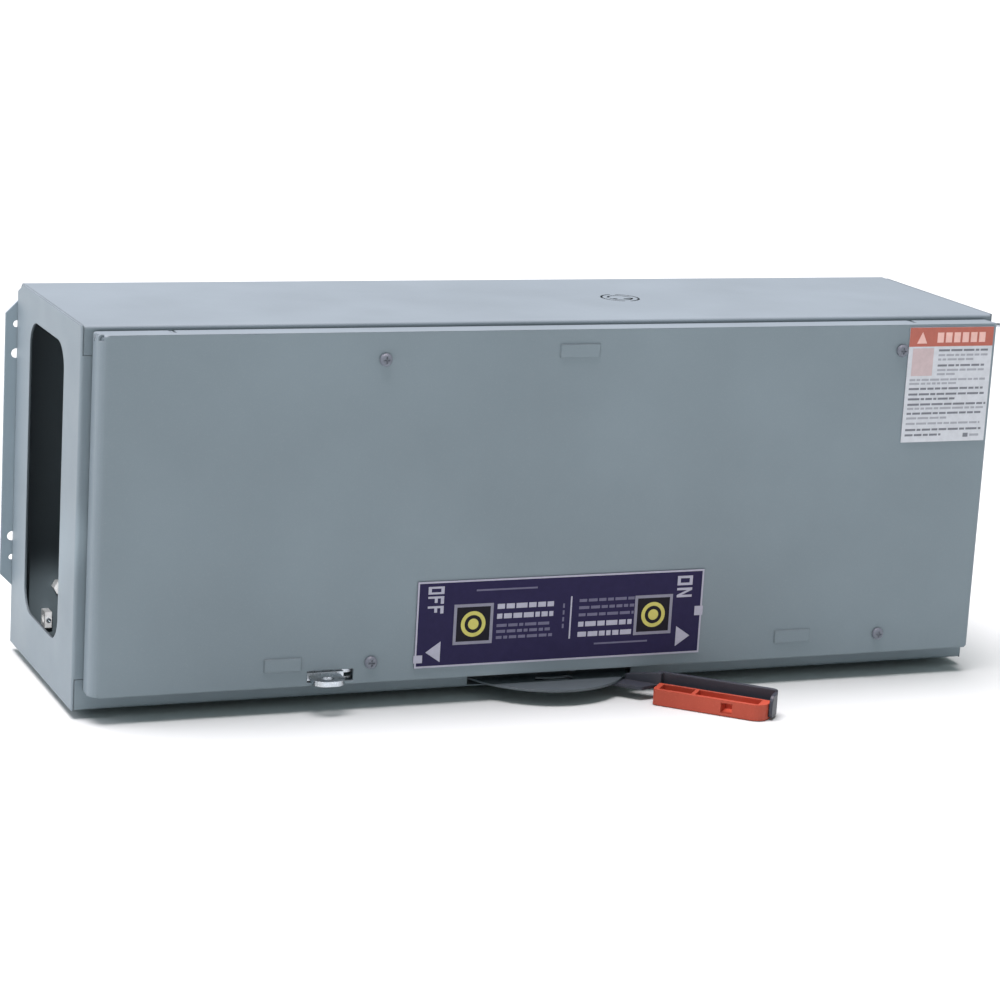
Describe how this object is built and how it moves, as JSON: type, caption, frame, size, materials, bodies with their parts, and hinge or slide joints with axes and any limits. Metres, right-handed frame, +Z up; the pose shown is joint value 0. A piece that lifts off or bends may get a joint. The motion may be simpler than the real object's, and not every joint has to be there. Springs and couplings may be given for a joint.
{
  "type": "fusible disconnect switch",
  "caption": "Long sheet-metal disconnect box with a top-hinged door, a cable opening in one end and a red-gripped lever on a disc that leaves the lower front edge.",
  "frame": {"origin": "centre of the enclosure's width and height on the rear mounting face", "axes": "+X along the enclosure towards the end without the cable opening, +Y into the wall, +Z up"},
  "size_m": [0.7168, 0.2818, 0.2727],
  "materials": {
    "paint": "grey baked enamel on sheet steel",
    "black_paint": "black enamel on steel bar",
    "red_plastic": "moulded red grip",
    "zinc": "bright zinc plating",
    "copper": "bare copper",
    "aluminium": "extruded lug",
    "phenolic": "moulded phenolic",
    "fibre": "pressed insulating sheet",
    "fuse_tube": "wrapped fibre tube",
    "plate_print": "printed indigo plate",
    "label_print": "printed white label"
  },
  "bodies": {
    "enclosure": {"enclosure_body": "paint", "left_end_plate": "paint", "right_end_plate": "paint", "mounting_plate": "paint", "hinge_bracket_left": "paint", "hinge_bracket_right": "paint", "hinge_rod": "zinc", "latch_catch": "zinc", "ground_stud": "zinc", "handle_bush": "zinc", "ground_lug": "aluminium", "rotor_bearing_lower": "phenolic", "rotor_bearing_upper": "phenolic", "switch_base": "phenolic", "phase_barrier_1": "fibre", "phase_barrier_2": "fibre", "line_jaw_1": "copper", "load_jaw_1": "copper", "fuse_clip_1": "copper", "fuse_tube_1": "fuse_tube", "fuse_ends_1": "copper", "line_lug_1": "aluminium", "load_lug_1": "aluminium", "line_jaw_2": "copper", "load_jaw_2": "copper", "fuse_clip_2": "copper", "fuse_tube_2": "fuse_tube", "fuse_ends_2": "copper", "line_lug_2": "aluminium", "load_lug_2": "aluminium", "line_jaw_3": "copper", "load_jaw_3": "copper", "fuse_clip_3": "copper", "fuse_tube_3": "fuse_tube", "fuse_ends_3": "copper", "line_lug_3": "aluminium", "load_lug_3": "aluminium"},
    "door": {"door": "paint", "door_liner": "fibre", "latch_guide": "zinc", "nameplate": "plate_print", "info_label": "label_print", "door_screw_1": "paint", "door_screw_2": "paint", "door_screw_3": "paint", "door_screw_4": "paint"},
    "latch": {"door_latch": "zinc"},
    "handle": {"handle_pin": "zinc", "handle_disc": "paint", "handle_lever": "black_paint", "handle_grip": "red_plastic", "handle_rivet_1": "zinc", "handle_rivet_2": "zinc", "crank_pin": "zinc"},
    "link": {"drive_link": "zinc"},
    "rotor": {"rotor_shaft": "phenolic", "rotor_crank": "zinc", "contact_blade_1": "copper", "contact_blade_2": "copper", "contact_blade_3": "copper"}
  },
  "joints": [
    {"name": "door_hinge", "type": "hinge", "parent": "enclosure", "child": "door", "pos_m": [0, -0.185, 0.1265], "axis": [-1, 0, 0], "range_deg": [0, 100]},
    {"name": "latch_slide", "type": "slide", "parent": "door", "child": "latch", "axis": [1, 0, 0], "range_m": [0, 0.008], "stiffness_N_per_m": 200},
    {"name": "handle_turn", "type": "hinge", "parent": "enclosure", "child": "handle", "pos_m": [0.0053, -0.1544, -0.1289], "axis": [0, 0, -1], "range_deg": [0, 94]},
    {"name": "link_pivot", "type": "hinge", "parent": "handle", "child": "link", "pos_m": [0.02167, -0.13685, -0.127], "axis": [0, 0, -1], "range_deg": [-94, 0]},
    {"name": "rotor_turn", "type": "hinge", "parent": "enclosure", "child": "rotor", "pos_m": [0.0053, -0.069, 0], "axis": [0, 0, -1], "range_deg": [0, 94]}
  ],
  "couplings": [
    {"joint": "link_pivot", "follows": "handle_turn", "ratio": -1},
    {"joint": "rotor_turn", "follows": "handle_turn", "ratio": 1}
  ]
}
